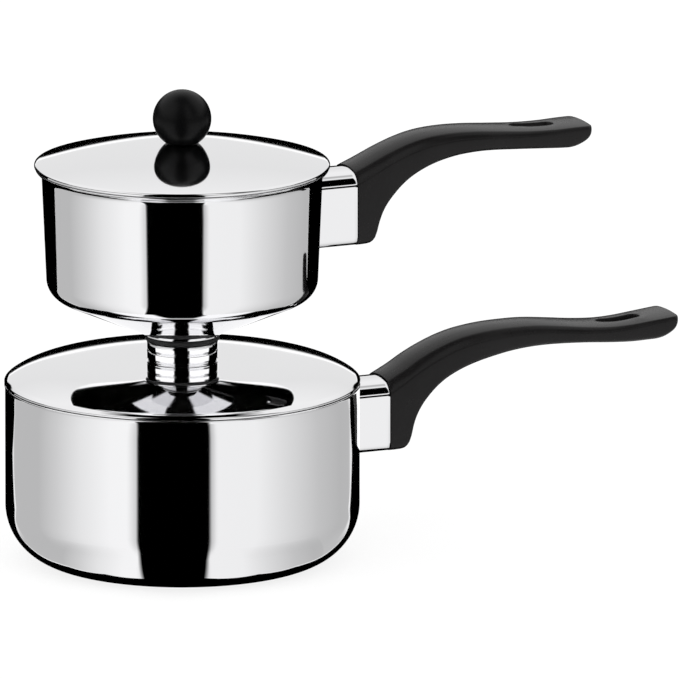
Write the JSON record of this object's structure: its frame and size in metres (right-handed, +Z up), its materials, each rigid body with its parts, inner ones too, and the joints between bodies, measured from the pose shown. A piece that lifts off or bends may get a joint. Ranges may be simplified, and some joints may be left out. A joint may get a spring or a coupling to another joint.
{
  "type": "couscous steamer",
  "caption": "Stovetop couscous steamer: a lidded funnel-bottomed pan stands on the steam chimney of a covered boiling pan; both have long swept handles.",
  "frame": {"origin": "centre of the lower pan's flat base, on the surface it stands on", "axes": "+Z up along the axis of both pans, +X along the handles, away from the pans"},
  "size_m": [0.362, 0.1812, 0.2445],
  "materials": {
    "polished_steel": "mirror-polished stainless steel",
    "brushed_steel": "satin stainless steel",
    "bakelite": "satin black moulded bakelite",
    "silicone": "matte black silicone"
  },
  "bodies": {
    "base_pan": {"lower_pan_body": "polished_steel", "lower_bracket": "brushed_steel", "lower_ferrule": "polished_steel", "lower_grip": "bakelite", "lower_handle_screw": "brushed_steel"},
    "cover_unit": {"cover": "polished_steel", "chimney": "polished_steel", "chimney_collar": "brushed_steel"},
    "seal_unit": {"seal_ring": "silicone"},
    "upper_pan": {"upper_pan_body": "polished_steel", "upper_bracket": "brushed_steel", "upper_ferrule": "polished_steel", "upper_grip": "bakelite", "upper_handle_screw": "brushed_steel"},
    "plate_unit": {"steam_plate": "brushed_steel", "plate_knob": "polished_steel", "plate_nut": "brushed_steel"},
    "lid_unit": {"lid": "polished_steel", "lid_knob": "bakelite", "knob_washer": "brushed_steel", "knob_screw": "brushed_steel"}
  },
  "joints": [
    {"name": "cover_lift", "type": "slide", "parent": "base_pan", "child": "cover_unit", "axis": [0, 0, 1], "range_m": [0, 0.06]},
    {"name": "pan_lift", "type": "slide", "parent": "cover_unit", "child": "seal_unit", "axis": [0, 0, 1], "range_m": [0, 0.05]},
    {"name": "pan_turn", "type": "hinge", "parent": "seal_unit", "child": "upper_pan", "pos_m": [0, 0, 0.1172], "axis": [0, 0, 1], "continuous": true},
    {"name": "plate_lift", "type": "slide", "parent": "upper_pan", "child": "plate_unit", "axis": [0, 0, 1], "range_m": [0, 0.055]},
    {"name": "lid_lift", "type": "slide", "parent": "upper_pan", "child": "lid_unit", "axis": [0, 0, 1], "range_m": [0, 0.06]}
  ]
}
